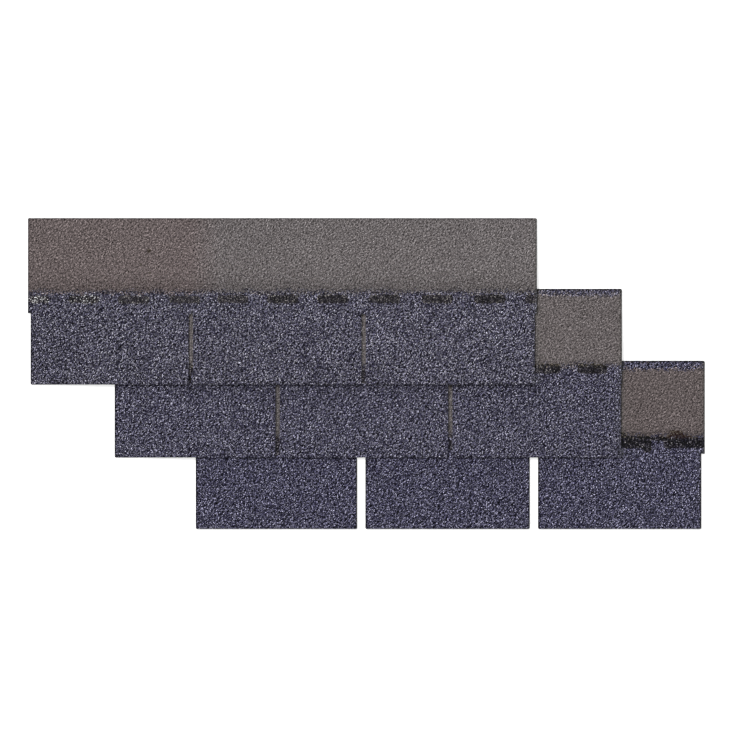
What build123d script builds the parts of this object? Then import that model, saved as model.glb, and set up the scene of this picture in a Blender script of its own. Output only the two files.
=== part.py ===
from build123d import *
import os
from dataclasses import dataclass

# Three three-tab asphalt shingle strips, lying stepped over one another as the first three
# courses of a roof do. The bottom strip lies flat on the floor. Each strip above is set back
# by one exposure and to the left, and the limp sheet comes down from the strip below it to
# the floor in a long shallow S beyond that strip's head edge and left end.
# Each strip carries a row of self-seal bitumen dashes above its cutouts.
# All sizes are in millimetres. X runs along the strips, +Y towards the head edges, Z up.

# A strip as it comes off the cutter
strip_length = 1000.0
strip_thickness = 2.8
head_depth = 188.0  # head edge to the closed ends of the cutouts
bottom_tab_depth = 142.5  # closed ends of the cutouts to the butt edge
middle_tab_depth = 143.3
top_tab_depth = 139.0  # the top strip's butt edge is trimmed a little shorter
cutout_pitch = 339.3
cutout_width = 8.5
bottom_cutout_width = 16.5  # the bottom strip's cutouts are wider ones
cutout_corner_radius = 2.5
strip_corner_radius = 2.5
notch_corner_radius = 0.8  # at the part cutouts left where the web is cut into strips

# The self-seal dashes
seal_above_cutouts = 29.0  # closed ends of the cutouts up to the middle of the row
seal_width = 15.0
bottom_seal_width = 19.0  # the bottom strip's bead spread wider
seal_length = 62.0
seal_pitch = 99.6
seal_thickness = 0.4
seal_clearance = 0.05  # the dashes rest on the tips of the granules
seal_corner_radius = 3.0

# How the strips lie on one another
middle_side_step = 162.8  # left shift from the bottom strip to the middle one
top_side_step = 167.0
middle_head_step = 141.3  # head edge to head edge
top_head_step = 139.0
granule_gap = 0.5  # air that the lower strip's granules keep under the next strip
landing = 2.0  # least stretch of a strip that lies flat on the floor past its slope

level_height = strip_thickness + granule_gap
slope_run = min(middle_side_step, top_side_step, middle_head_step, top_head_step) - landing
reach = 2 * strip_length  # further than any strip extends, for the ground bodies
ground_depth = 20.0  # the ground bodies' own thickness below the floor


@dataclass(frozen=True)
class Strip:
    """A strip's place, and where the cutter and the seal applicator happened to fall on it."""

    left: float  # X of its left end
    head: float  # Y of its head edge
    tab_depth: float
    cutout: float  # width of its cutouts
    first_cutout: float  # left end to the middle of the first cutout
    left_notch: float  # widths of the part cutouts at its two ends, 0 where there is none
    right_notch: float
    notch_rise: float  # how far the part cutouts reach past the whole ones
    seal_width: float
    last_seal: float  # right end back to the start of the last seal dash


bottom = Strip(
    left=0.0,
    head=0.0,
    tab_depth=bottom_tab_depth,
    cutout=bottom_cutout_width,
    first_cutout=325.1,
    left_notch=0.0,
    right_notch=6.8,
    notch_rise=5.5,
    seal_width=bottom_seal_width,
    last_seal=67.3,
)
middle = Strip(
    left=bottom.left - middle_side_step,
    head=bottom.head + middle_head_step,
    tab_depth=middle_tab_depth,
    cutout=cutout_width,
    first_cutout=323.6,
    left_notch=3.4,
    right_notch=1.8,
    notch_rise=1.5,
    seal_width=seal_width,
    last_seal=89.0,
)
top = Strip(
    left=middle.left - top_side_step,
    head=middle.head + top_head_step,
    tab_depth=top_tab_depth,
    cutout=cutout_width,
    first_cutout=320.2,
    left_notch=5.2,
    right_notch=4.2,
    notch_rise=1.5,
    seal_width=seal_width,
    last_seal=26.0,
)
strips = {"bottom": bottom, "middle": middle, "top": top}

# The origin is under the middle of the whole stack
centre_x = (top.left + bottom.left + strip_length) / 2
centre_y = (top.head + bottom.head - head_depth - bottom.tab_depth) / 2


def rounded_face(corners):
    """A flat face with square corners; each corner is (x, y, the radius it is rounded to)."""
    points = [Vector(x, y) for x, y, _ in corners]
    arcs = []
    for i, (_, _, radius) in enumerate(corners):
        to_last = (points[i - 1] - points[i]).normalized() * radius
        to_next = (points[(i + 1) % len(points)] - points[i]).normalized() * radius
        crown = points[i] + (to_last + to_next) * (1 - 0.5**0.5)
        arcs.append((points[i] + to_last, crown, points[i] + to_next))
    edges = []
    for i, arc in enumerate(arcs):
        edges.append(Line(arcs[i - 1][2], arc[0]))
        edges.append(ThreePointArc(*arc))
    return make_face(edges)


def strip_outline(strip):
    """The die-cut outline of a strip: its tabs, two cutouts and the part cutouts at its ends."""
    left, right = strip.left, strip.left + strip_length
    tab_left, tab_right = left + strip.left_notch, right - strip.right_notch
    cutout_top = strip.head - head_depth
    notch_top = cutout_top + strip.notch_rise
    butt = cutout_top - strip.tab_depth
    outer, inner, small = strip_corner_radius, cutout_corner_radius, notch_corner_radius
    corners = [(left, strip.head, outer)]
    if strip.left_notch:
        corners += [(left, notch_top, small), (tab_left, notch_top, small)]
    corners += [(tab_left, butt, outer)]
    first_centre = left + strip.first_cutout
    for centre in (first_centre, first_centre + cutout_pitch):
        start, end = centre - strip.cutout / 2, centre + strip.cutout / 2
        corners += [(start, butt, outer), (start, cutout_top, inner)]
        corners += [(end, cutout_top, inner), (end, butt, outer)]
    corners += [(tab_right, butt, outer), (tab_right, notch_top, small)]
    corners += [(right, notch_top, small), (right, strip.head, outer)]
    return rounded_face(corners)


def seal_outlines(strip):
    """The row of seal dashes, cut off where the strip ends."""
    right = strip.left + strip_length
    row_middle = strip.head - head_depth + seal_above_cutouts
    low, high = row_middle - strip.seal_width / 2, row_middle + strip.seal_width / 2
    start = right - strip.last_seal
    dashes = []
    while start + seal_length > strip.left + 3 * seal_corner_radius:
        first, last = max(start, strip.left), min(start + seal_length, right)
        around = ((first, high), (first, low), (last, low), (last, high))
        dashes.append(rounded_face([(x, y, seal_corner_radius) for x, y in around]))
        start -= seal_pitch
    return dashes


def slope_section(start, lift):
    """The closed section under a sheet across a buried edge, raised by lift.

    From start the ground runs level to the edge at 0, comes down in an S of two arcs over
    the slope's run and goes on along the floor. X is the distance out, Y the height."""
    crest_height = level_height + lift
    radius = (slope_run**2 + level_height**2) / (4 * level_height)
    bow = radius - (radius**2 - (slope_run / 4) ** 2) ** 0.5
    half_way = (slope_run / 2, level_height / 2 + lift)
    return make_face([
        Line((start, crest_height), (0, crest_height)),
        ThreePointArc((0, crest_height), (slope_run / 4, crest_height - bow), half_way),
        ThreePointArc(half_way, (slope_run * 3 / 4, lift + bow), (slope_run, lift)),
        Line((slope_run, lift), (reach, lift)),
        Line((reach, lift), (reach, -ground_depth)),
        Line((reach, -ground_depth), (start, -ground_depth)),
        Line((start, -ground_depth), (start, crest_height)),
    ])


def ground_over(strip, lift):
    """The ground that a sheet meets when laid over this strip's top left corner."""
    inset = strip_corner_radius
    corner = Vector(strip.left + inset, strip.head - inset)
    out_of_head = Plane((corner.X, strip.head, 0), x_dir=(0, 1, 0), z_dir=(1, 0, 0))
    out_of_left = Plane((strip.left, corner.Y, 0), x_dir=(-1, 0, 0), z_dir=(0, 1, 0))
    past_head = extrude(out_of_head * slope_section(-reach, lift), reach)
    past_left = extrude(out_of_left * slope_section(-inset, lift), -reach)
    at_corner = revolve(out_of_head * slope_section(-inset, lift), Axis(corner, (0, 0, 1)), 90)
    return past_head + past_left + at_corner


def ground_under(strip, lift):
    """Everything under a strip in its place in the stack, raised by lift."""
    if strip is bottom:
        size = 4 * strip_length
        return Pos(0, 0, (lift - ground_depth) / 2) * Box(size, size, lift + ground_depth)
    if strip is middle:
        return ground_over(bottom, lift)
    height = 2 * (level_height + ground_depth)
    over_middle = Pos(middle.left + reach / 2, middle.head - reach / 2) * Box(reach, reach, height)
    return ground_over(middle, lift) + (ground_over(bottom, level_height + lift) & over_middle)


def laid_layer(outline, strip, low, high):
    """A layer with this outline in plan, between two heights above what the strip lies on."""
    column = extrude(outline, 2 * level_height + high + strip_thickness)
    return (column & ground_under(strip, high)) - ground_under(strip, low)


def write(node, layers):
    """Moves the solids of one node to the stack's own frame and writes them."""
    solids = [Pos(-centre_x, -centre_y, 0) * solid for layer in layers for solid in layer.solids()]
    export_step(solids[0] if len(solids) == 1 else Compound(children=solids), f"parts/{node}.step")


os.makedirs("parts", exist_ok=True)
seal_bottom = strip_thickness + seal_clearance
seal_top = seal_bottom + seal_thickness
for name, strip in strips.items():
    sheet = laid_layer(strip_outline(strip), strip, 0, strip_thickness)
    dashes = [laid_layer(dash, strip, seal_bottom, seal_top) for dash in seal_outlines(strip)]
    write(f"{name}_strip", [sheet])
    write(f"{name}_seal_dashes", dashes)
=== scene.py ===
import bpy
import numpy as np
from mathutils.geometry import delaunay_2d_cdt
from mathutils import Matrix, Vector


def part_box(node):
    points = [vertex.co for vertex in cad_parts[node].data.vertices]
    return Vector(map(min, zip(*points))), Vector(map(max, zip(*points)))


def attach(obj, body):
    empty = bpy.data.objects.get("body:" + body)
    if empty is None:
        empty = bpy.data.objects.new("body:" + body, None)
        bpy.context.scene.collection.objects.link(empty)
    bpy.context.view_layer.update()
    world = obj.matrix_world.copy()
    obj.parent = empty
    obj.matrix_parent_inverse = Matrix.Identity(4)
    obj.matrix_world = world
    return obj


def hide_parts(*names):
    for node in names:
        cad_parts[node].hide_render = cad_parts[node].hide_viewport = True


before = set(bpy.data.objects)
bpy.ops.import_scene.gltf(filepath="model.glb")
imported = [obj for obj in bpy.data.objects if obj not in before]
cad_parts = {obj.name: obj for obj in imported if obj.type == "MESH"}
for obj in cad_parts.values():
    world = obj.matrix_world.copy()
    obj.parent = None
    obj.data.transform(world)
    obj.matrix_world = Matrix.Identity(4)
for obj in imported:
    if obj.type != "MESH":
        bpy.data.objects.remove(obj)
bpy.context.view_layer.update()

# Three asphalt shingle strips laid stepped over one another, seen from straight above.
# Shapes are worked out in millimetres in the frame's own axes, and turned to metres when a
# mesh is made.

# How the strips lie on one another, as in the solids
lay = {
    "thickness": 2.8,
    "granuleGap": 0.5,  # air kept under the next strip by the granules' tips
    "slopeRun": 137.0,  # a strip comes down to the floor over this run past a buried edge
    "outerRadius": 2.5,
    "cutoutRadius": 2.5,
    "cutoutPitch": 339.3,
}
levelHeight = lay["thickness"] + lay["granuleGap"]

# The die-cut outline of each strip, and where its plain mineral granules begin and end,
# measured from the head edge
strips = {
    "bottom": {
        "cutoutWidth": 16.5,
        "firstCutout": 325.1,  # left end to the middle of the first cutout
        "notches": (0.0, 6.8),  # part cutouts at the left and right ends
        "notchRise": 5.5,
        "tabDepth": 142.5,
        "mineral": (148.5, 17.0),
        "bandMix": 0.07,  # share of mineral granules in the coloured band by the head edge
        "sealFade": (0.28, 11.0),  # the headlap darkens by this share, this near the line
        "paintedButtShade": 0.15,  # painted shade: the tabs darken by this share just below the strip above
        "tone": (0.87, 0.87),  # brightness of the granules at its left and right ends
        "brown": (0.85, 0.85),  # brownness of its mineral granules towards those ends
        "blue": 1.05,  # blueness of its coloured granules
        "seed": 11,
    },
    "middle": {
        "cutoutWidth": 8.5,
        "firstCutout": 323.6,
        "notches": (3.4, 1.8),
        "notchRise": 1.5,
        "tabDepth": 143.3,
        "mineral": (150.0, 13.5),
        "bandMix": 0.16,
        "sealFade": (0.15, 8.0),
        "paintedButtShade": 0.35,
        "tone": (0.97, 0.97),
        "brown": (0.3, 0.3),
        "blue": 0.98,
        "seed": 23,
    },
    "top": {
        "cutoutWidth": 8.5,
        "firstCutout": 320.2,
        "notches": (5.2, 4.2),
        "notchRise": 1.5,
        "tabDepth": 139.0,
        "mineral": (144.8, -60.0),  # past the head edge, so there is no coloured band
        "bandMix": 0.0,
        "sealFade": (0.26, 24.0),
        "paintedButtShade": 0.0,
        "tone": (1.0, 1.09),
        "brown": (0.98, 0.0),
        "blue": 0.93,
        "seed": 37,
    },
}
laidOn = {"middle": "bottom", "top": "middle"}
laidUnder = {"bottom": "middle", "middle": "top"}
for name, strip in strips.items():
    low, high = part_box(name + "_strip")
    strip["left"], strip["right"] = low.x * 1000, high.x * 1000
    strip["butt"], strip["head"] = low.y * 1000, high.y * 1000
    strip["cutoutTop"] = strip["butt"] + strip["tabDepth"]
    strip["notchTop"] = strip["cutoutTop"] + strip["notchRise"]
    strip["tabLeft"] = strip["left"] + strip["notches"][0]
    strip["tabRight"] = strip["right"] - strip["notches"][1]
    first, half = strip["left"] + strip["firstCutout"], strip["cutoutWidth"] / 2
    centres = (first, first + lay["cutoutPitch"])
    strip["cutouts"] = [(centre - half, centre + half) for centre in centres]


def slopeHeight(out):
    # Height of the S past a buried edge, out mm beyond it: the level, then two arcs of
    # radius (run^2 + level^2) / (4 level) that meet half way down, then the floor.
    run, level = lay["slopeRun"], levelHeight
    radius = (run**2 + level**2) / (4 * level)
    out = np.clip(out, 0, run)
    crest = level - radius + np.sqrt(radius**2 - np.minimum(out, run / 2) ** 2)
    toe = radius - np.sqrt(radius**2 - np.minimum(run - out, run / 2) ** 2)
    return np.where(out < run / 2, crest, toe)


def pastEdges(x, y, strip):
    # Distance beyond a strip's left and head edges, round its top left corner's radius.
    radius = lay["outerRadius"]
    left = np.maximum(strip["left"] + radius - x, 0)
    head = np.maximum(y - strip["head"] + radius, 0)
    return np.hypot(left, head) - radius


def groundUnder(name, x, y):
    # What a strip lies on: the floor; the bottom strip's level and its slope; or the middle
    # strip's level and slope, with the first slope again on top of that level.
    bottom, middle = strips["bottom"], strips["middle"]
    if name == "bottom":
        return np.zeros_like(x)
    if name == "middle":
        return slopeHeight(pastEdges(x, y, bottom))
    overMiddle = (x >= middle["left"]) & (y <= middle["head"])
    second = levelHeight + slopeHeight(pastEdges(x, y, bottom))
    return np.maximum(slopeHeight(pastEdges(x, y, middle)), np.where(overMiddle, second, 0))


def makePiece(name, points, faces, materials, faceMaterial=None):
    # One object at the origin from points in millimetres. faceMaterial has one number for
    # each face, and without it every face has the first material.
    mesh = bpy.data.meshes.new(name)
    mesh.from_pydata((points * 0.001).tolist(), [], faces)
    for material in materials:
        mesh.materials.append(material)
    if faceMaterial is not None:
        mesh.polygons.foreach_set("material_index", faceMaterial.astype(np.int32))
    mesh.update()
    piece = bpy.data.objects.new(name, mesh)
    bpy.context.scene.collection.objects.link(piece)
    return piece


def paintPoints(piece, values):
    # Attributes that the materials read, one number for each point.
    for key, numbers in values.items():
        layer = piece.data.attributes.new(key, "FLOAT", "POINT")
        layer.data.foreach_set("value", numbers.astype(np.float32))


# Colours and nodes


def srgb(code):
    # Linear RGBA from a hex value, by the sRGB curve.
    values = np.array([int(code[i : i + 2], 16) for i in (1, 3, 5)]) / 255
    linear = np.where(values <= 0.04045, values / 12.92, ((values + 0.055) / 1.055) ** 2.4)
    return (*linear.tolist(), 1.0)


def addNode(tree, kind, links=None, **settings):
    # Adds a node: settings are its properties, and links maps an input's name or number to
    # what feeds it: an output, a node's first output, or a value.
    node = tree.nodes.new(kind)
    for key, value in settings.items():
        setattr(node, key, value)
    for key, source in (links or {}).items():
        if isinstance(source, bpy.types.Node):
            source = source.outputs[0]
        if isinstance(source, bpy.types.NodeSocket):
            tree.links.new(source, node.inputs[key])
        else:
            node.inputs[key].default_value = source
    return node


def newMaterial(name):
    material = bpy.data.materials.new(name)
    material.use_nodes = True
    return material, material.node_tree, material.node_tree.nodes["Principled BSDF"]


# The granules
granules = {
    "size": 1.6,  # real ones are 1 to 2.4 mm
    "own": 0.4,  # how far a granule's own colour strays from the middle one
    "facets": 0.45,  # how much a granule's neighbours break it into lighter and darker facets
    "sealScatter": 15.0,  # coloured granules thin out over this much above the seal row
    "bandScatter": 9.0,  # and over this much below the head edge's band
    "wander": 21.0,  # both lines wander by up to half of this either way
    "wanderSize": 22.0,  # in waves of about this length
    "pit": (0.35, 0.75),  # from the shoulder of a granule to the pit, in its own widths
    "pitShade": (0.15, 0.6),  # brightness of the pits among coloured and mineral ones
    "height": 1.2,  # bump of a granule over its pit
    "bumpStrength": 0.9,
    "drift": (0.97, 1.03),  # the brightness drifts between these
    "driftSize": 70.0,  # in patches of about this size
    "rough": (0.55, 0.95),
    "specular": 0.04,  # low, because pits and dust between the granules take the gloss
    # slate blue ceramic-coated crushed stone, from nearly black to lavender
    "coloured": [
        (22, "#131126"),
        (20, "#2d2b3e"),
        (20, "#4d4b60"),
        (16, "#6f6d83"),
        (12, "#9492a7"),
        (10, "#bab8cb"),
    ],
    # plain crushed stone on the headlap: warm grey
    "mineral": [
        (12, "#433e3f"),
        (24, "#625d5e"),
        (28, "#76706f"),
        (24, "#8b8586"),
        (12, "#a8a2a3"),
    ],
    "brown": "#6b5a58",  # what the browner mineral granules lean to
    "brownShare": 0.4,  # and how far, where the brownness is 1
    "greyTint": "#55564f",  # greenish grey tint beside the edges
}


def granulePattern(tree, strip):
    # Cells of one granule each. The first of a Voronoi cell's three random numbers draws
    # its class of stone, pushed up or down by how far it differs from the next nearest
    # cell's, which breaks the granule into facets. Each zone of the strip has its own
    # classes. Returns the colour, the cell's three random numbers, the pattern itself and
    # whether the granule is a mineral one.
    place = addNode(tree, "ShaderNodeTexCoord").outputs["Object"]
    cells = {"Vector": place, "Scale": 1000 / granules["size"]}
    grain = addNode(tree, "ShaderNodeTexVoronoi", cells)
    beside = addNode(tree, "ShaderNodeTexVoronoi", cells, feature="F2")
    chance = addNode(tree, "ShaderNodeSeparateColor", {0: grain.outputs["Color"]}).outputs
    other = addNode(tree, "ShaderNodeSeparateColor", {0: beside.outputs["Color"]}).outputs
    apart = addNode(
        tree, "ShaderNodeMath", {0: chance["Red"], 1: other["Red"]}, operation="SUBTRACT"
    )
    own = addNode(
        tree,
        "ShaderNodeMapRange",
        {0: chance["Red"], 3: 0.5 - granules["own"] / 2, 4: 0.5 + granules["own"] / 2},
    )
    pick = addNode(
        tree,
        "ShaderNodeMath",
        {0: apart, 1: granules["facets"], 2: own},
        operation="MULTIPLY_ADD",
    )
    stones = {}
    for kind in ("coloured", "mineral"):
        ramp = addNode(tree, "ShaderNodeValToRGB", {0: pick})
        ramp.color_ramp.interpolation = "CONSTANT"
        elements = ramp.color_ramp.elements
        start = 0.0
        for i, (share, colour) in enumerate(granules[kind]):
            element = elements[i] if i < 2 else elements.new(start)
            element.position = start
            element.color = srgb(colour)
            start += share / sum(part for part, _ in granules[kind])
        stones[kind] = ramp

    # the mineral zone lies between two lines across the strip, which wander and scatter
    centre = addNode(tree, "ShaderNodeSeparateXYZ", {0: grain.outputs["Position"]}).outputs["Y"]
    waves = {"Scale": 1000 / granules["wanderSize"], "Detail": 3.0}
    noise = addNode(
        tree, "ShaderNodeTexNoise", {"Vector": grain.outputs["Position"], **waves}
    )
    wander = addNode(tree, "ShaderNodeMath", {0: noise, 1: -0.5}, operation="ADD")
    line = addNode(
        tree,
        "ShaderNodeMath",
        {0: wander, 1: 0.001 * granules["wander"], 2: centre},
        operation="MULTIPLY_ADD",
    )
    luck = addNode(tree, "ShaderNodeMath", {0: chance["Green"], 1: -0.5}, operation="ADD")
    sides = []
    for scatter, depth, operation in (
        (granules["sealScatter"], strip["mineral"][0], "GREATER_THAN"),
        (granules["bandScatter"], strip["mineral"][1], "LESS_THAN"),
    ):
        moved = addNode(
            tree,
            "ShaderNodeMath",
            {0: luck, 1: 0.001 * scatter, 2: line},
            operation="MULTIPLY_ADD",
        )
        limit = 0.001 * (strip["head"] - depth)
        sides.append(addNode(tree, "ShaderNodeMath", {0: moved, 1: limit}, operation=operation))
    mixedIn = addNode(
        tree, "ShaderNodeMath", {0: chance["Blue"], 1: strip["bandMix"]}, operation="LESS_THAN"
    )
    upper = addNode(tree, "ShaderNodeMath", {0: sides[1], 1: mixedIn}, operation="MAXIMUM")
    isMineral = addNode(tree, "ShaderNodeMath", {0: sides[0], 1: upper}, operation="MULTIPLY")

    brownness = addNode(tree, "ShaderNodeAttribute", attribute_name="brown").outputs["Fac"]
    share = addNode(
        tree, "ShaderNodeMath", {0: brownness, 1: granules["brownShare"]}, operation="MULTIPLY"
    )
    mineral = addNode(
        tree,
        "ShaderNodeMix",
        {0: share, 6: stones["mineral"], 7: srgb(granules["brown"])},
        data_type="RGBA",
        blend_type="COLOR",
    )
    coloured = addNode(
        tree,
        "ShaderNodeVectorMath",
        {0: stones["coloured"], 1: (1.0, 1.0, strip["blue"])},
        operation="MULTIPLY",
    )
    colour = addNode(
        tree,
        "ShaderNodeMix",
        {0: isMineral, 6: coloured, 7: mineral.outputs[2]},
        data_type="RGBA",
    )
    return colour.outputs[2], chance, grain, isMineral


def granuleSurface(name, strip):
    # Mineral-surfaced asphalt: crushed stone rolled into hot bitumen. Every granule has its
    # own colour in a few facets, with black bitumen in the pits between, so the sheet is a
    # matt speckle with few glints, darker along its cut rim, with painted shade below the
    # strip above, and greenish grey beside some edges.
    material, tree, shader = newMaterial(name)
    stone, chance, grain, isMineral = granulePattern(tree, strip)
    pitShade = addNode(
        tree,
        "ShaderNodeMapRange",
        {0: isMineral, 3: granules["pitShade"][0], 4: granules["pitShade"][1]},
    )
    pit = addNode(
        tree,
        "ShaderNodeMapRange",
        {
            0: grain.outputs["Distance"],
            1: granules["pit"][0],
            2: granules["pit"][1],
            3: 1.0,
            4: pitShade,
        },
        interpolation_type="SMOOTHSTEP",
    )
    # the tone attribute also carries the painted shade below the strip above
    tone = addNode(tree, "ShaderNodeAttribute", attribute_name="tone").outputs["Fac"]
    shade = addNode(tree, "ShaderNodeMath", {0: pit, 1: tone}, operation="MULTIPLY")
    patches = {"Scale": 1000 / granules["driftSize"], "Detail": 2.0}
    noise = addNode(
        tree, "ShaderNodeTexNoise", {"Vector": grain.outputs["Position"], **patches}
    )
    low, high = granules["drift"]  # over the noise's usual range, 0.3 to 0.7
    drift = addNode(tree, "ShaderNodeMapRange", {0: noise, 1: 0.3, 2: 0.7, 3: low, 4: high})
    shade = addNode(tree, "ShaderNodeMath", {0: shade, 1: drift}, operation="MULTIPLY")
    shaded = addNode(
        tree, "ShaderNodeVectorMath", {0: stone, "Scale": shade}, operation="SCALE"
    )
    greyTint = addNode(tree, "ShaderNodeAttribute", attribute_name="greyTint").outputs["Fac"]
    colour = addNode(
        tree,
        "ShaderNodeMix",
        {0: greyTint, 6: shaded, 7: srgb(granules["greyTint"])},
        data_type="RGBA",
    )
    low, high = granules["rough"]
    rough = addNode(tree, "ShaderNodeMapRange", {0: chance["Blue"], 3: low, 4: high})
    bump = addNode(
        tree,
        "ShaderNodeBump",
        {
            "Height": grain.outputs["Distance"],
            "Distance": 0.001 * granules["height"],
            "Strength": granules["bumpStrength"],
        },
        invert=True,
    )
    tree.links.new(colour.outputs[2], shader.inputs["Base Color"])
    tree.links.new(rough.outputs[0], shader.inputs["Roughness"])
    tree.links.new(bump.outputs[0], shader.inputs["Normal"])
    shader.inputs["Specular IOR Level"].default_value = granules["specular"]
    return material


# The rows of self-seal bitumen
seal = {
    "height": 0.3,  # crest above the sheet's level; 0.5 mm is free under the next strip
    "lumps": (-0.34, 0.119),  # the crest's lumps, down and up
    "foot": 0.3,  # a bead's edge dips this far below the sheet's level
    "sunk": 0.45,  # and its underside lies this far below it
    "drowned": 0.05,  # the granules under a bead lie this far below its underside
    "inset": 0.8,  # but only from this far inside its edge
    "step": 1.7,  # grid step of a bead
    "fewestSteps": 6,
    "stray": 0.25,  # how far its points stray along the row
    "ragged": 1.3,  # wander of its long edges
    "raggedFrom": 12.0,  # and a bead that is narrower than this wanders less
    "smallSpot": 20.0,  # a spot shorter and narrower than this is an oval
    "spare": 0.3,  # width left free at the strip's ends
    "thinEdge": 0.3,  # share of the film's thickness that is left at a bead's edge
    "patchy": 0.5,  # how far the thickness strays from point to point, as a share
    "bitumen": "#070708",
    "brown": "#1f100d",
    # painted glints: near-white specks in the bitumen's colour that stand in for highlights
    "glint": "#f0eff2",
    "filmTint": (1.1, 1.05, 0.86),  # bitumen takes the blue out of what shows through it
    "rough": (0.42, 0.85),  # of the film, and of the granules that show through it
    "specular": 0.05,
    "grain": 0.8,  # bump of the granules in the film
    "grainStrength": 0.6,
}
# Each spot is its start and end along the strip from the left end, its upper and lower
# edge as depths below the head edge, the thickness of the film over the granules, the share
# of painted white glints, and its brownness.
rows = {
    "top": {
        "spots": [
            (0.9, 42.5, 151.5, 167.8, 2.8, 0.11, 0.0),
            (79.8, 141.7, 151.5, 167.8, 2.6, 0.07, 0.0),
            (177.1, 238.9, 152.4, 168.4, 1.7, 0.01, 0.0),
            (277.3, 339.1, 152.0, 168.0, 1.7, 0.0, 0.0),
            (371.5, 433.4, 151.0, 168.0, 1.7, 0.0, 0.0),
            (469.8, 531.7, 150.2, 168.0, 2.3, 0.0, 0.0),
            (568.0, 629.9, 150.0, 168.0, 2.9, 0.0, 0.0),
            (670.2, 732.1, 150.0, 168.0, 2.3, 0.0, 0.0),
            (773.3, 835.2, 150.0, 168.0, 2.5, 0.0, 0.0),
            (876.5, 938.3, 150.0, 168.0, 3.2, 0.0, 0.0),
            (976.7, 999.2, 150.0, 168.0, 2.4, 0.0, 0.0),
            # splashes of bitumen on the headlap
            (233.7, 242.4, 60.2, 68.8, 2.5, 0.0, 0.6),
            (219.4, 224.8, 89.0, 93.4, 2.0, 0.0, 0.5),
            (237.4, 242.6, 105.6, 109.8, 2.0, 0.0, 0.3),
            (117.4, 121.0, 131.4, 135.4, 2.0, 0.0, 0.3),
            (258.4, 264.6, 143.2, 147.0, 2.0, 0.0, 0.2),
        ],
        "seed": 5,
    },
    "middle": {
        "spots": [
            (912.4, 971.8, 146.4, 167.6, 3.1, 0.0, 0.0),
            (817.0, 880.6, 146.4, 167.6, 3.1, 0.0, 0.0),
            *[(711.8 - 99.6 * i, 773.8 - 99.6 * i, 150, 166, 1.9, 0.0, 0.0) for i in range(8)],
            # smears in the top strip's cutouts
            (149.4, 154.6, 154.5, 186.9, 3.5, 0.0, 0.0),
            (487.3, 496.3, 154.5, 186.5, 1.8, 0.0, 0.0),
        ],
        "seed": 6,
    },
    "bottom": {
        "spots": [
            (918.9, 999.2, 150.0, 172.2, 5.6, 0.0, 0.0),
            (833.7, 896.2, 147.6, 173.0, 6.5, 0.0, 0.0),
            *[(733.5 - 99.6 * i, 795.5 - 99.6 * i, 149, 170, 2.5, 0.0, 0.0) for i in range(8)],
            # the line that joins the last two dashes, a smear of browner bitumen above the
            # last one, and a blotch above and a drip below the other
            (890.2, 926.2, 148.6, 157.6, 6.0, 0.0, 0.0),
            (924.0, 974.0, 144.8, 154.0, 4.0, 0.0, 0.8),
            (931.0, 958.0, 136.5, 149.0, 5.0, 0.0, 1.0),
            (879.2, 896.7, 164.1, 181.1, 3.0, 0.0, 0.0),
            (835.0, 846.5, 138.9, 151.0, 4.0, 0.0, 0.0),
            # smears in the middle strip's cutouts
            (155.7, 164.5, 155.7, 187.1, 2.5, 0.0, 0.0),
            (496.7, 504.8, 154.5, 176.5, 3.5, 0.0, 0.0),
        ],
        "seed": 7,
    },
}


# The sheets: one closed mesh each, with the granules' relief on top
sheet = {
    "gridStep": 1.92,  # just over a granule's width
    "jitter": 0.34,  # share of a grid step that a point may stray
    "relief": (0.55, 0.42),  # below and above the sheet's level, on the coloured granules
    "mineralRelief": 0.6,  # share of that on the finer mineral surface
    "speckle": (1.9, 0.58),  # light and dark granules differ so much, coloured and mineral
    "speckleLimits": (0.04, 4.0),
    "rolledEdge": 0.5,  # the cutter leaves the rim this much lower
    "rimRelief": 0.2,  # relief left on the rim, either way
    # rings down the cut edge: height as a share of the thickness, and bulge outwards
    "rings": ((0.62, 0.12), (0.3, 0.15), (0.0, -0.1)),
    "edgeRagged": 0.18,  # how far their points stray in and out
    "underStep": 7,  # the underside has a point at every so many grid lines
    "rimWidth": 2.3,  # the bruised rim, where granules are lost and bitumen shows
    "rimShade": 0.97,  # how dark it is at the ends, the head edge and the cutouts' sides
    "buttRim": 0.35,  # at the butt edges and the cutouts' closed ends
    "coveredRim": 0.12,  # and wherever it lies over the strip below
    "mineralRim": 0.6,  # share of that on the mineral granules, which hold better
    "buttShadeReach": 14.0,  # reach of the painted shade below the strip above
    "sealFadeBelow": 4.0,  # reach of the darkening at the line, on the coloured side
    "brownTurn": (320.0, 380.0),  # the left end's brownness turns to the right end's here
    "greyTintWidth": 5.0,  # the greenish grey tint lies about this far from an edge
    "greyTintCover": 0.35,  # and covers this share right beside it
    "mapSize": 1040.0,  # the flat map's square is this wide
    "mapUnder": 380.0,  # and the underside lies this far above the top on it
    "mapMargin": 0.015,
}


def gridLines(stops):
    # Grid lines through every stop, about one step apart between them.
    lines = [np.array([stops[0]])]
    for start, end in zip(stops[:-1], stops[1:]):
        count = max(1, round((end - start) / sheet["gridStep"]))
        lines.append(np.linspace(start, end, count + 1)[1:])
    return np.concatenate(lines)


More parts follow.
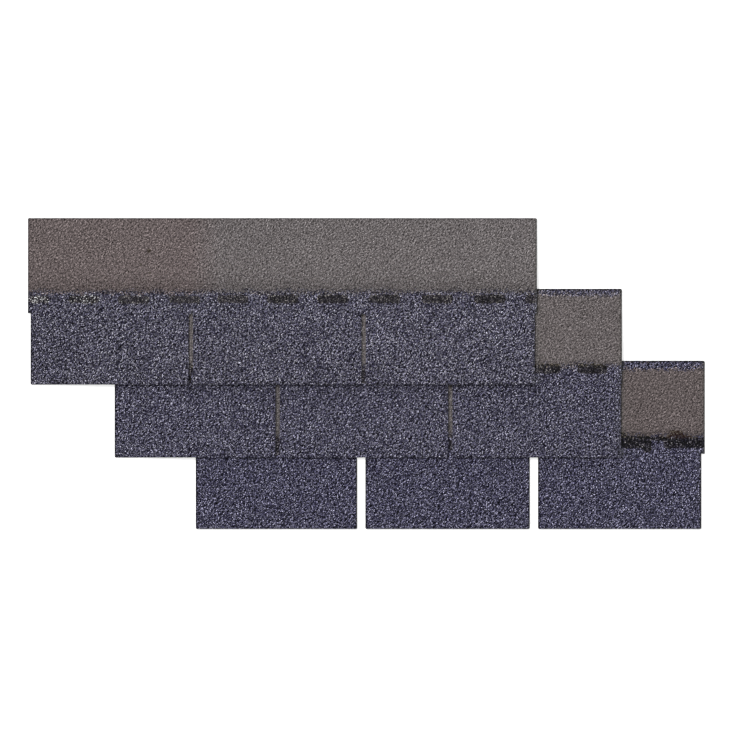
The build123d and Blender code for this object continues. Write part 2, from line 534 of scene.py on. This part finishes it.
def roundCorners(x, y, onRim, strip):
    # Rim points within a corner's square move onto its arc. Each row is the corner, the
    # direction from it to the arc's centre, and the radius.
    left, right, butt, head = (strip[key] for key in ("left", "right", "butt", "head"))
    top, inner, outer = strip["cutoutTop"], lay["cutoutRadius"], lay["outerRadius"]
    corners = [(left, head, 1, -1, outer), (right, head, -1, -1, outer)]
    corners += [(strip["tabLeft"], butt, 1, 1, outer), (strip["tabRight"], butt, -1, 1, outer)]
    for start, end in strip["cutouts"]:
        corners += [(start, butt, -1, 1, outer), (end, butt, 1, 1, outer)]
        corners += [(start, top, 1, -1, inner), (end, top, -1, -1, inner)]
    for cornerX, cornerY, sideX, sideY, radius in corners:
        awayX, awayY = x - cornerX - sideX * radius, y - cornerY - sideY * radius
        reach = np.hypot(awayX, awayY)
        beyond = onRim & (awayX * sideX <= 0) & (awayY * sideY <= 0) & (reach > radius)
        beyond &= (np.abs(x - cornerX) <= radius) & (np.abs(y - cornerY) <= radius)
        scale = np.where(beyond, radius / np.maximum(reach, 1e-6), 1)
        x, y = x + awayX * (scale - 1), y + awayY * (scale - 1)
    return x, y


def rimEdges(solid, padded, number):
    # The edges between a cell of sheet and an empty one, each with the sheet on its left.
    edges = []
    for shiftX, shiftY, start, end in (
        (0, -1, (0, 0), (1, 0)),
        (1, 0, (1, 0), (1, 1)),
        (0, 1, (1, 1), (0, 1)),
        (-1, 0, (0, 1), (0, 0)),
    ):
        neighbour = np.roll(padded, (-shiftX, -shiftY), (0, 1))[1:-1, 1:-1]
        i, j = np.nonzero(solid & (neighbour == 0))
        starts, ends = number[i + start[0], j + start[1]], number[i + end[0], j + end[1]]
        edges.append(np.stack([starts, ends], axis=1))
    return np.concatenate(edges)


def outwardAt(rim, edges, points):
    # Unit direction out of the sheet at each rim point, from the edges that meet there.
    along = points[edges[:, 1], :2] - points[edges[:, 0], :2]
    normal = np.stack([along[:, 1], -along[:, 0]], axis=1)
    normal /= np.linalg.norm(normal, axis=1, keepdims=True)
    outward = np.zeros((len(points), 2))
    np.add.at(outward, edges[:, 0], normal)
    np.add.at(outward, edges[:, 1], normal)
    return outward[rim] / np.maximum(np.linalg.norm(outward[rim], axis=1, keepdims=True), 1e-6)


def blurred(field):
    # Each point's average with its four neighbours on the grid.
    shifts = ((1, 0), (-1, 0), (1, 1), (-1, 1))
    return (field + sum(np.roll(field, shift, axis) for shift, axis in shifts)) / 5


def runDistance(x, y, run):
    # Distance from points to a straight run of the outline, which goes along an axis.
    startX, startY, endX, endY = run
    alongX = np.maximum(np.maximum(startX - x, x - endX), 0)
    alongY = np.maximum(np.maximum(startY - y, y - endY), 0)
    return np.hypot(alongX, alongY)


def sheetTones(name, x, y):
    # What the granules' material reads. The tone goes from end to end, times the bruised rim,
    # 1 - shade exp(-(distance / width)^2), times the darkening at the line where the mineral
    # granules begin, of the same form, times a painted shade below the strip above, 1 - share
    # exp(-distance / width). The brownness goes from end to end, only beside the strip
    # above. A greenish grey tint lies by the right end and beside the strip above.
    strip = strips[name]
    left, right, butt, head = (strip[key] for key in ("left", "right", "butt", "head"))
    tabLeft, tabRight = strip["tabLeft"], strip["tabRight"]
    top, notchTop = strip["cutoutTop"], strip["notchTop"]
    (first, second), (third, fourth) = strip["cutouts"]
    across = (x - left) / (right - left)
    tone = strip["tone"][0] * (1 - across) + strip["tone"][1] * across

    mineralLine = head - strip["mineral"][0]
    isMineral = (y > mineralLine) & (y < head - strip["mineral"][1])
    sides = [(left, head, right, head), (left, notchTop, left, head)]
    sides += [(right, notchTop, right, head), (tabLeft, butt, tabLeft, notchTop)]
    sides += [(tabRight, butt, tabRight, notchTop)]
    sides += [(side, butt, side, top) for side in (first, second, third, fourth)]
    butts = [(tabLeft, butt, first, butt), (second, butt, third, butt)]
    butts += [(fourth, butt, tabRight, butt)]
    butts += [(first, top, second, top), (third, top, fourth, top)]
    overStrip = np.zeros(x.shape, bool)
    if name in laidOn:
        under = strips[laidOn[name]]
        overStrip = (x > under["left"]) & (y < under["head"])
    rimTone = 1.0
    for runs, bruise in ((sides, sheet["rimShade"]), (butts, sheet["buttRim"])):
        near = np.min([runDistance(x, y, run) for run in runs], axis=0)
        shade = bruise * np.where(isMineral, sheet["mineralRim"], 1)
        shade = np.where(overStrip, sheet["coveredRim"], shade)
        rimTone = np.minimum(rimTone, 1 - shade * np.exp(-((near / sheet["rimWidth"]) ** 2)))
    tone = tone * rimTone

    fade, width = strip["sealFade"]
    width = np.where(y > mineralLine, width, sheet["sealFadeBelow"])
    tone *= 1 - fade * np.exp(-(((y - mineralLine) / width) ** 2))
    toEdge = right - x
    brown = np.interp(x - left, sheet["brownTurn"], strip["brown"])
    if name in laidUnder:
        above = strips[laidUnder[name]]
        beside, below = x - above["right"], above["butt"] - y
        # painted shade: the tabs below the strip above's butt are darkened, most right at the
        # butt
        inButtShade = (below >= 0) & (beside < 0)
        tone *= 1 - inButtShade * strip["paintedButtShade"] * np.exp(-below / sheet["buttShadeReach"])
        toEdge = np.where((beside > 0) & (below < 0), np.minimum(toEdge, beside), toEdge)
        brown = brown * (beside > 0)
    return {
        "tone": tone,
        "brown": brown,
        "greyTint": sheet["greyTintCover"] * np.exp(-np.maximum(toEdge, 0) / sheet["greyTintWidth"]),
    }


def underBeads(name, x, y):
    # Whether a point lies under one of the row's beads, a little inside its edge.
    strip = strips[name]
    covered = np.zeros(x.shape, bool)
    along, down = x - strip["left"], strip["head"] - y
    for start, end, upper, lower, *_ in rows[name]["spots"]:
        within = np.abs(along - (start + end) / 2) < (end - start) / 2 - seal["inset"]
        within &= np.abs(down - (upper + lower) / 2) < (lower - upper) / 2 - seal["inset"]
        covered |= within
    return covered


def makeSheet(name, materials):
    # The top is a grid of quads over the die-cut outline, each point raised or sunk by its
    # granule. The cut edge is rings of the rim's points going down, and the underside is
    # triangulated between the last ring and a sparse grid.
    strip = strips[name]
    random = np.random.default_rng(strip["seed"])
    left, right, butt, head = (strip[key] for key in ("left", "right", "butt", "head"))
    (first, second), (third, fourth) = strip["cutouts"]
    stops = [left, strip["tabLeft"], first, second, third, fourth, strip["tabRight"], right]
    xLines = gridLines(np.unique(stops))
    yLines = gridLines([butt, strip["cutoutTop"], strip["notchTop"], head])

    # which cells of the grid are sheet: not in a cutout, not in an end notch
    midX = (xLines[:-1, None] + xLines[1:, None]) / 2
    midY = (yLines[None, :-1] + yLines[None, 1:]) / 2
    inCutout = ((midX > first) & (midX < second)) | ((midX > third) & (midX < fourth))
    inNotch = (midX < strip["tabLeft"]) | (midX > strip["tabRight"])
    inNotch = inNotch & (midY < strip["notchTop"])
    solid = ~((inCutout & (midY < strip["cutoutTop"])) | inNotch)

    # a point's count of sheet cells round it: 4 inside, 1 to 3 on the outline
    padded = np.pad(solid, 1).astype(int)
    around = padded[:-1, :-1] + padded[1:, :-1] + padded[:-1, 1:] + padded[1:, 1:]
    onRim = (around > 0) & (around < 4)
    x, y = np.meshgrid(xLines, yLines, indexing="ij")
    x, y = roundCorners(x, y, onRim, strip)

    # granules stray from the grid, and each point is a granule's tip or the pit between two
    stray = sheet["jitter"] * sheet["gridStep"] * np.where(onRim, 0, 1)
    x = x + random.uniform(-1, 1, x.shape) * stray
    y = y + random.uniform(-1, 1, x.shape) * stray
    isMineral = (y > head - strip["mineral"][0]) & (y < head - strip["mineral"][1])
    deep, tall = sheet["relief"]
    relief = random.uniform(-deep, tall, x.shape)
    relief *= np.where(isMineral, sheet["mineralRelief"], 1)
    relief = np.where(underBeads(name, x, y), -seal["sunk"] - seal["drowned"], relief)
    rimRelief = random.uniform(-sheet["rimRelief"], sheet["rimRelief"], x.shape)
    relief = np.where(onRim, rimRelief - sheet["rolledEdge"], relief)
    topZ = groundUnder(name, x, y) + lay["thickness"] + relief

    # light and dark granules alternate more than they clump: each point's brightness is 1
    # plus a random number, less that number's average round it, blurred three times
    speckle = random.normal(0, 1, x.shape)
    speckle = speckle - blurred(blurred(blurred(speckle)))
    onColoured, onMineral = sheet["speckle"]
    speckle = 1 + speckle / speckle.std() * np.where(isMineral, onMineral, onColoured)
    speckle = np.clip(speckle, *sheet["speckleLimits"])

    # points in use are numbered, and the top's quads run anticlockwise seen from above
    used = around > 0
    number = np.full(x.shape, -1)
    number[used] = np.arange(used.sum())
    topPoints = np.stack([x[used], y[used], topZ[used]], axis=1)
    i, j = np.nonzero(solid)
    quads = [number[i, j], number[i + 1, j], number[i + 1, j + 1], number[i, j + 1]]
    quads = np.stack(quads, axis=1)

    # cut edge: rings of the rim going down, each a little ragged
    edges = rimEdges(solid, padded, number)
    rim = np.unique(edges)
    outward = outwardAt(rim, edges, topPoints)
    ground = groundUnder(name, topPoints[rim, 0], topPoints[rim, 1])
    points, rings, layers = [topPoints], [rim], [np.ones(len(topPoints))]
    flat = [topPoints[:, :2]]
    total = len(topPoints)
    for share, bulge in sheet["rings"]:
        ragged = random.uniform(-1, 1, len(rim)) * sheet["edgeRagged"]
        ring = topPoints[rim].copy()
        ring[:, :2] += outward * (bulge + ragged)[:, None]
        ring[:, 2] = ground + lay["thickness"] * share
        points.append(ring)
        rings.append(np.arange(total, total + len(rim)))
        layers.append(np.full(len(rim), share))
        flat.append(topPoints[rim, :2] + outward * lay["thickness"] * (1 - share))
        total += len(rim)
    rimPlace = np.full(len(topPoints), -1)
    rimPlace[rim] = np.arange(len(rim))
    a, b = rimPlace[edges[:, 0]], rimPlace[edges[:, 1]]
    walls = [
        np.stack([upper[b], upper[a], lower[a], lower[b]], axis=1)
        for upper, lower in zip(rings[:-1], rings[1:])
    ]

    # underside: sparse points clear of the rim, joined to the last ring
    step = sheet["underStep"]
    sparse = np.zeros(x.shape, bool)
    sparse[::step, ::step] = True
    clear = around == 4
    clear[1:-1, 1:-1] &= (around[:-2, 1:-1] == 4) & (around[2:, 1:-1] == 4)
    clear[1:-1, 1:-1] &= (around[1:-1, :-2] == 4) & (around[1:-1, 2:] == 4)
    sparse &= clear
    under = np.stack([x[sparse], y[sparse], groundUnder(name, x[sparse], y[sparse])], axis=1)
    outline = np.concatenate([points[-1][:, :2], under[:, :2]])
    points.append(under)
    layers.append(np.zeros(len(under)))
    flat.append(under[:, :2])
    found = delaunay_2d_cdt(outline.tolist(), np.stack([a, b], axis=1).tolist(), [], 1, 1e-6)
    source = np.array([ids[0] for ids in found[3]])
    triangles = source[np.array(found[2])][:, ::-1] + total - len(rim)
    points = np.concatenate(points)
    faces = quads.tolist() + np.concatenate(walls).tolist() + triangles.tolist()
    kinds = np.repeat([0, 1, 2], [len(quads), sum(map(len, walls)), len(triangles)])
    piece = makePiece(name + "StripSheet", points, faces, materials, kinds)

    # flat map: the top with its walls folded outwards, and the underside above it
    loops = np.empty(len(piece.data.loops), np.int32)
    piece.data.loops.foreach_get("vertex_index", loops)
    isUnder = np.arange(len(loops)) >= len(loops) - 3 * len(triangles)
    lifted = points[loops, :2] + (0, sheet["mapUnder"])
    unfolded = np.where(isUnder[:, None], lifted, np.concatenate(flat)[loops])
    uv = (unfolded - (left, butt)) / sheet["mapSize"] + sheet["mapMargin"]
    flatMap = piece.data.uv_layers.new(name="OFBake")
    flatMap.data.foreach_set("uv", uv.astype(np.float32).ravel())

    tones = sheetTones(name, points[:, 0], points[:, 1])
    tones["tone"][: len(topPoints)] *= speckle[used]
    paintPoints(piece, {"layer": np.concatenate(layers), **tones})
    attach(piece, "root")
    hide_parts(name + "_strip")
    print(name, "strip:", len(quads), "quads on top,", len(triangles), "triangles under")


# The cut edge, and below it the underside
edge = {
    "bitumen": "#131214",
    "mat": "#4a4641",  # the glass mat in the middle of the sheet
    "stone": "#4c4a55",  # granules cut through near the top
    "wavy": 0.25,  # how much the layers waver
    "streak": 1.5,  # the blade's drag marks
    "streakDepth": 0.4,
    "streakStrength": 0.6,
    "rough": (0.5, 0.85),
    "specular": 0.35,
}


def cutBitumen():
    # Die-cut asphalt sheet: the blade leaves a dull black edge with the paler line of the
    # glass mat half way up and cut stones near the top. Reads the height in the sheet.
    material, tree, shader = newMaterial("cutBitumenEdge")
    place = addNode(tree, "ShaderNodeTexCoord").outputs["Object"]
    layer = addNode(tree, "ShaderNodeAttribute", attribute_name="layer").outputs["Fac"]
    streaks = addNode(
        tree,
        "ShaderNodeTexNoise",
        {"Vector": place, "Scale": 1000 / edge["streak"], "Detail": 2.0, "Roughness": 0.6},
    )
    wavy = addNode(
        tree,
        "ShaderNodeMath",
        {0: streaks, 1: edge["wavy"], 2: layer},
        operation="MULTIPLY_ADD",
    )
    layers = addNode(tree, "ShaderNodeValToRGB", {0: wavy})
    elements = layers.color_ramp.elements
    elements[0].position, elements[0].color = 0.45, srgb(edge["bitumen"])
    elements[1].position, elements[1].color = 1.0, srgb(edge["stone"])
    for position, colour in ((0.56, "mat"), (0.62, "mat"), (0.7, "bitumen"), (0.88, "bitumen")):
        elements.new(position).color = srgb(edge[colour])
    tree.links.new(layers.outputs[0], shader.inputs["Base Color"])
    low, high = edge["rough"]
    rough = addNode(tree, "ShaderNodeMapRange", {0: streaks, 3: low, 4: high})
    tree.links.new(rough.outputs[0], shader.inputs["Roughness"])
    depth = {"Distance": 0.001 * edge["streakDepth"], "Strength": edge["streakStrength"]}
    bump = addNode(tree, "ShaderNodeBump", {"Height": streaks, **depth})
    tree.links.new(bump.outputs[0], shader.inputs["Normal"])
    shader.inputs["Specular IOR Level"].default_value = edge["specular"]
    return material


back = {
    "bitumen": "#242325",
    "sand": "#6a6763",
    "pale": "#8d8983",
    "sandSize": 1.1,  # real back sand is 0.2 to 0.6 mm; coarser, so that it shows
    "patch": 60.0,  # the sand lies thicker and thinner in patches this wide
    "cover": (0.45, 0.85),  # and covers these shares of them
    "sandHeight": 0.3,
    "sandStrength": 0.5,
    "rough": (0.6, 0.95),  # of the bitumen and of the sand
    "specular": 0.25,
}


def sandedBack():
    # Back-sanded bitumen: fine sand pressed into the coating so that bundled strips don't
    # stick. A dull dark grey with pale specks, thicker in some patches than in others.
    material, tree, shader = newMaterial("sandedBitumenBack")
    place = addNode(tree, "ShaderNodeTexCoord").outputs["Object"]
    grains = {"Vector": place, "Scale": 1000 / back["sandSize"]}
    sand = addNode(tree, "ShaderNodeTexVoronoi", grains)
    chance = addNode(tree, "ShaderNodeSeparateColor", {0: sand.outputs["Color"]}).outputs
    patches = {"Vector": place, "Scale": 1000 / back["patch"], "Detail": 5.0}
    patch = addNode(tree, "ShaderNodeTexNoise", patches)
    low, high = back["cover"]
    cover = addNode(tree, "ShaderNodeMapRange", {0: patch, 1: 0.3, 2: 0.7, 3: low, 4: high})
    sanded = addNode(
        tree, "ShaderNodeMath", {0: chance["Red"], 1: cover}, operation="LESS_THAN"
    )
    pale = addNode(tree, "ShaderNodeMapRange", {0: chance["Green"], 1: 0.6, 2: 1.0})
    stone = addNode(
        tree,
        "ShaderNodeMix",
        {0: pale, 6: srgb(back["sand"]), 7: srgb(back["pale"])},
        data_type="RGBA",
    )
    colour = addNode(
        tree,
        "ShaderNodeMix",
        {0: sanded, 6: srgb(back["bitumen"]), 7: stone.outputs[2]},
        data_type="RGBA",
    )
    tree.links.new(colour.outputs[2], shader.inputs["Base Color"])
    low, high = back["rough"]
    rough = addNode(tree, "ShaderNodeMapRange", {0: sanded, 3: low, 4: high})
    tree.links.new(rough.outputs[0], shader.inputs["Roughness"])
    depth = {"Distance": 0.001 * back["sandHeight"], "Strength": back["sandStrength"]}
    bump = addNode(
        tree, "ShaderNodeBump", {"Height": sand.outputs["Distance"], **depth}, invert=True
    )
    tree.links.new(bump.outputs[0], shader.inputs["Normal"])
    shader.inputs["Specular IOR Level"].default_value = back["specular"]
    return material


cutEdge, backFace = cutBitumen(), sandedBack()
for name in strips:
    surface = granuleSurface(name + "StripGranules", strips[name])
    makeSheet(name, [surface, cutEdge, backFace])


def makeBeads(name, material):
    # One mesh for the row. A bead is a grid over its length u and width v. Its two long
    # edges are straight with a ragged wander, and its width closes at both ends as the
    # fourth root of 1 - |2u - 1|^8, or in a small spot as the root of 1 - |2u - 1|^2. Its
    # crest is the root of 1 - |2v - 1|^4, times 1.3 of that closing where this is below 1.
    row, strip = rows[name], strips[name]
    random = np.random.default_rng(row["seed"])
    points, faces, film, glint, brown = [], [], [], [], []
    total = 0
    for start, end, upper, lower, thick, glints, brownness in row["spots"]:
        length, width = end - start, lower - upper
        steps = max(seal["fewestSteps"], round(length / seal["step"]))
        across = max(seal["fewestSteps"], round(width / seal["step"]))
        u, v = np.linspace(0, 1, steps + 1), np.linspace(0, 1, across + 1)
        u, v = np.meshgrid(u, v, indexing="ij")
        power, root = (2, 0.5) if max(length, width) < seal["smallSpot"] else (8, 0.25)
        closing = (1 - np.abs(2 * u - 1) ** power) ** root
        wander = random.normal(0, 1, (steps + 3, 2))
        wander = (wander[:-2] + wander[1:-1] * 2 + wander[2:])[:, None, :] / 4
        ragged = seal["ragged"] * min(1.0, width / seal["raggedFrom"])
        middle, reach = strip["head"] - (upper + lower) / 2, width / 2 * closing
        edgeLow = middle - reach + wander[..., 0] * ragged
        edgeHigh = middle + reach + wander[..., 1] * ragged
        x = strip["left"] + start + u * length + random.normal(0, seal["stray"], u.shape)
        x = np.clip(x, strip["left"] + seal["spare"], strip["right"] - seal["spare"])
        y = edgeLow + v * (edgeHigh - edgeLow)
        level = groundUnder(name, x, y) + lay["thickness"]
        crest = (1 - np.abs(2 * v - 1) ** 4) ** 0.5 * np.minimum(closing * 1.3, 1)
        lumps = random.uniform(*seal["lumps"], u.shape)
        topZ = level + crest * (seal["height"] + lumps) - (1 - crest) * seal["foot"]
        bottomZ = level - seal["sunk"]
        count = u.size
        number = np.arange(count).reshape(u.shape)
        quads = [number[:-1, :-1], number[1:, :-1], number[1:, 1:], number[:-1, 1:]]
        quads = np.stack(quads, axis=-1).reshape(-1, 4) + total
        loop = [number[:, 0], number[-1, 1:], number[-2::-1, -1], number[0, -2:0:-1]]
        loop = np.concatenate(loop) + total
        after = np.roll(loop, -1)
        walls = np.stack([after, loop, loop + count, after + count], axis=1)
        faces += quads.tolist() + (quads[:, ::-1] + count).tolist() + walls.tolist()
        points.append(np.stack([x.ravel(), y.ravel(), topZ.ravel()], axis=1))
        points.append(np.stack([x.ravel(), y.ravel(), bottomZ.ravel()], axis=1))
        thinned = seal["thinEdge"] + (1 - seal["thinEdge"]) * crest
        patchy = random.uniform(1 - seal["patchy"], 1 + seal["patchy"], u.shape)
        film.append(np.tile((thick * thinned * patchy).ravel(), 2))
        glint.append(np.full(2 * count, glints))
        brown.append(np.full(2 * count, brownness))
        total += 2 * count
    piece = makePiece(name + "SealBeads", np.concatenate(points), faces, [material])
    paintPoints(
        piece,
        {
            "film": np.concatenate(film),
            "glint": np.concatenate(glint),
            "tar": np.concatenate(brown),
            "brown": np.zeros(total),
        },
    )
    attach(piece, "root")
    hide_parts(name + "_seal_dashes")
    print(name, "seal row:", len(row["spots"]), "beads")


def sealSurface(name, strip):
    # Oxidised bitumen laid hot from an applicator wheel: a black film that lies thick on
    # some granules and thin on others, so that their colour shows through in patches as
    # chance ^ film, with the blue taken out, and with painted glints, loose near-white specks
    # in the colour, on some dashes.
    material, tree, shader = newMaterial(name)
    stone, chance, grain, _ = granulePattern(tree, strip)
    amounts = {}
    for key in ("film", "glint", "tar"):
        amounts[key] = addNode(tree, "ShaderNodeAttribute", attribute_name=key).outputs["Fac"]
    bitumen = addNode(
        tree,
        "ShaderNodeMix",
        {0: amounts["tar"], 6: srgb(seal["bitumen"]), 7: srgb(seal["brown"])},
        data_type="RGBA",
    )
    through = addNode(
        tree, "ShaderNodeMath", {0: chance["Blue"], 1: amounts["film"]}, operation="POWER"
    )
    tinted = addNode(
        tree, "ShaderNodeVectorMath", {0: stone, 1: seal["filmTint"]}, operation="MULTIPLY"
    )
    film = addNode(
        tree, "ShaderNodeMix", {0: through, 6: bitumen.outputs[2], 7: tinted}, data_type="RGBA"
    )
    # painted glints: where a granule's chance is below the glint share, its colour is near
    # white
    shines = addNode(
        tree, "ShaderNodeMath", {0: chance["Green"], 1: amounts["glint"]}, operation="LESS_THAN"
    )
    colour = addNode(
        tree,
        "ShaderNodeMix",
        {0: shines, 6: film.outputs[2], 7: srgb(seal["glint"])},
        data_type="RGBA",
    )
    tree.links.new(colour.outputs[2], shader.inputs["Base Color"])
    low, high = seal["rough"]
    rough = addNode(tree, "ShaderNodeMapRange", {0: through, 3: low, 4: high})
    tree.links.new(rough.outputs[0], shader.inputs["Roughness"])
    depth = {"Distance": 0.001 * seal["grain"], "Strength": seal["grainStrength"]}
    bump = addNode(
        tree, "ShaderNodeBump", {"Height": grain.outputs["Distance"], **depth}, invert=True
    )
    tree.links.new(bump.outputs[0], shader.inputs["Normal"])
    shader.inputs["Specular IOR Level"].default_value = seal["specular"]
    return material


for name in rows:
    makeBeads(name, sealSurface(name + "SealBitumen", strips[name]))

# Floor, light and camera
light = {
    "sunStrength": 2.9,
    "sunAngle": 0.22,
    "sunTilt": (-35.3, -38.0),  # degrees about X and Y: it comes from the upper left
    "ambient": 0.4,
    "floor": "#e6e6e6",
    "floorReach": 8.0,  # metres from the middle to a side
    "floorDrop": 0.0003,  # metres that it lies below the strips
    "floorGlow": 0.6,  # what the camera sees added to the floor, so that it is white
}
far, drop = light["floorReach"], -light["floorDrop"]
floorPoints = [(-far, -far, drop), (far, -far, drop), (far, far, drop), (-far, far, drop)]
floorMesh = bpy.data.meshes.new("floor")
floorMesh.from_pydata(floorPoints, [], [(0, 1, 2, 3)])
floor = bpy.data.objects.new("floor", floorMesh)
bpy.context.scene.collection.objects.link(floor)
floorMaterial, tree, shader = newMaterial("paleStudioFloor")
shader.inputs["Base Color"].default_value = srgb(light["floor"])
shader.inputs["Roughness"].default_value = 0.9
shader.inputs["Specular IOR Level"].default_value = 0.0
shader.inputs["Emission Color"].default_value = (1, 1, 1, 1)
rays = addNode(tree, "ShaderNodeLightPath").outputs
seenRays = {0: rays["Is Camera Ray"], 1: rays["Is Glossy Ray"]}
seen = addNode(tree, "ShaderNodeMath", seenRays, operation="MAXIMUM")
seenRays = {0: seen, 1: rays["Is Transmission Ray"]}
seen = addNode(tree, "ShaderNodeMath", seenRays, operation="MAXIMUM")
glow = addNode(tree, "ShaderNodeMath", {0: seen, 1: light["floorGlow"]}, operation="MULTIPLY")
tree.links.new(glow.outputs[0], shader.inputs["Emission Strength"])
floorMesh.materials.append(floorMaterial)

# the camera sees a white room, and the strips are lit by a dimmer one
world = bpy.data.worlds.new("studio")
bpy.context.scene.world = world
world.use_nodes = True
tree = world.node_tree
rays = addNode(tree, "ShaderNodeLightPath").outputs
seenRays = {0: rays["Is Camera Ray"], 1: rays["Is Glossy Ray"]}
seen = addNode(tree, "ShaderNodeMath", seenRays, operation="MAXIMUM")
strength = addNode(tree, "ShaderNodeMapRange", {0: seen, 3: light["ambient"], 4: 1.0})
tree.links.new(strength.outputs[0], tree.nodes["Background"].inputs["Strength"])
tree.nodes["Background"].inputs["Color"].default_value = (1, 1, 1, 1)

sun = bpy.data.lights.new("softKey", "SUN")
sun.energy = light["sunStrength"]
sun.angle = light["sunAngle"]
sunObject = bpy.data.objects.new("softKey", sun)
sunObject.rotation_euler = (*np.radians(light["sunTilt"]), 0)
bpy.context.scene.collection.objects.link(sunObject)

# straight above, with a long lens, so far off that the frame is this wide at this height
view = {"lens": 300.0, "frameWidth": 1.4538, "middle": (0.00723, 0.0099), "height": 0.006}
camera = bpy.data.cameras.new("camera")
camera.lens = view["lens"]
camera.sensor_width = 36.0
camera.clip_end = 60.0
cameraObject = bpy.data.objects.new("camera", camera)
distance = view["frameWidth"] * camera.lens / camera.sensor_width
cameraObject.location = (*view["middle"], view["height"] + distance)
bpy.context.scene.collection.objects.link(cameraObject)
bpy.context.scene.camera = cameraObject
bpy.context.scene.view_settings.view_transform = "Standard"
